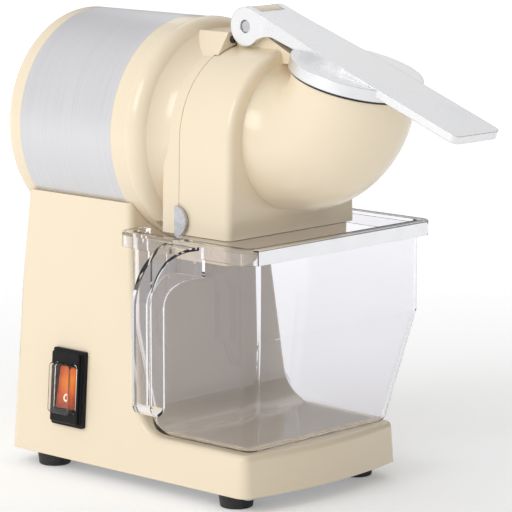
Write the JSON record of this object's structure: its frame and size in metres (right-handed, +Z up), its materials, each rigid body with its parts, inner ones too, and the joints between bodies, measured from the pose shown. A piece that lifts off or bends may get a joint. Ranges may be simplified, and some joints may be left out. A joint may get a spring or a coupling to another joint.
{
  "type": "shaved ice machine",
  "caption": "Countertop ice shaver: motor barrel on a pedestal base, elbow hopper with a press lever, and a clear pull-out container with a side handle.",
  "frame": {"origin": "centre of the whole footprint, on the surface that the feet stand on", "axes": "+Z up; the hopper, the lever's tip and the container face -Y; the switch and the container's handle are on the -X side"},
  "size_m": [0.207, 0.345, 0.3057],
  "materials": {
    "cream_paint": "gloss enamel, cream",
    "outlet_cream": "gloss enamel, cream",
    "stainless_band": "brushed round the barrel",
    "lever_aluminium": "cast, polished, with fine scratches",
    "bright_steel": "zinc plated",
    "cast_aluminium": "as cast and machined",
    "bearing_steel": "ground",
    "core_steel": "laminated steel",
    "copper_windings": "varnished copper wire",
    "galvanised_sheet": "plain sheet",
    "black_rubber": "matt black",
    "black_plastic": "fine texture",
    "lit_rocker": "translucent orange, lit",
    "clear_plastic": "clear injection-moulded plastic",
    "white_trim": "smooth",
    "white_plastic": "food-grade plastic",
    "capacitor_can": "drawn can",
    "pusher_steel": "stainless"
  },
  "bodies": {
    "base": {"base_housing": "cream_paint", "base_plate": "galvanised_sheet", "rubber_feet": "black_rubber", "foot_screws": "bright_steel", "foot_nuts": "bright_steel", "rim_screws": "bright_steel", "cable_gland": "black_plastic", "switch_bezel": "black_plastic", "switch_body": "black_plastic", "switch_hood": "clear_plastic", "terminal_block": "black_plastic", "run_capacitor": "capacitor_can", "motor_band": "stainless_band", "saddle_screws": "bright_steel", "saddle_nuts": "bright_steel", "stator_core": "core_steel", "stator_windings": "copper_windings", "rear_end_shield": "cast_aluminium", "tie_bolts": "bright_steel", "front_bearing": "bearing_steel", "rear_bearing": "bearing_steel", "rear_cap": "cream_paint", "rear_cap_screws": "bright_steel", "neck_casting": "cream_paint", "shaft_seal": "black_rubber", "lever_stops": "black_rubber"},
    "rotor": {"motor_shaft": "bright_steel", "rotor_core": "core_steel", "cooling_fan": "black_plastic", "cutter_disc": "cast_aluminium", "shaving_blades": "bright_steel", "blade_screws": "bright_steel", "cutter_nut": "bright_steel"},
    "mouth": {"mouth_casting": "cream_paint", "outlet_chute": "outlet_cream", "lever_pin": "bright_steel"},
    "lever": {"press_lever": "lever_aluminium", "hopper_seal": "black_rubber", "pusher": "white_plastic", "pusher_screws": "pusher_steel"},
    "latch_left": {"latch_left": "bright_steel", "latch_clip_left": "bright_steel"},
    "latch_right": {"latch_right": "bright_steel", "latch_clip_right": "bright_steel"},
    "container": {"container": "clear_plastic", "container_trim": "white_trim"},
    "rocker": {"switch_rocker": "lit_rocker"}
  },
  "joints": [
    {"name": "rotor_spin", "type": "hinge", "parent": "base", "child": "rotor", "pos_m": [0.0185, 0.02183, 0.2237], "axis": [0, 1, 0], "continuous": true},
    {"name": "mouth_slide", "type": "slide", "parent": "base", "child": "mouth", "axis": [0, -1, 0], "range_m": [0, 0.035]},
    {"name": "lever_hinge", "type": "hinge", "parent": "mouth", "child": "lever", "pos_m": [0.0185, 0.00223, 0.2935], "axis": [-1, 0, 0], "range_deg": [0, 120]},
    {"name": "latch_left_turn", "type": "hinge", "parent": "base", "child": "latch_left", "pos_m": [-0.0404, 0.01993, 0.1745], "axis": [1, 0, 0], "range_deg": [0, 180]},
    {"name": "latch_right_turn", "type": "hinge", "parent": "base", "child": "latch_right", "pos_m": [0.0774, 0.01993, 0.1745], "axis": [1, 0, 0], "range_deg": [0, 180]},
    {"name": "container_slide", "type": "slide", "parent": "base", "child": "container", "axis": [0, -1, 0], "range_m": [0, 0.15]},
    {"name": "rocker_tilt", "type": "hinge", "parent": "base", "child": "rocker", "pos_m": [-0.0503, 0.10713, 0.057], "axis": [0, -1, 0], "range_deg": [0, 14]}
  ]
}
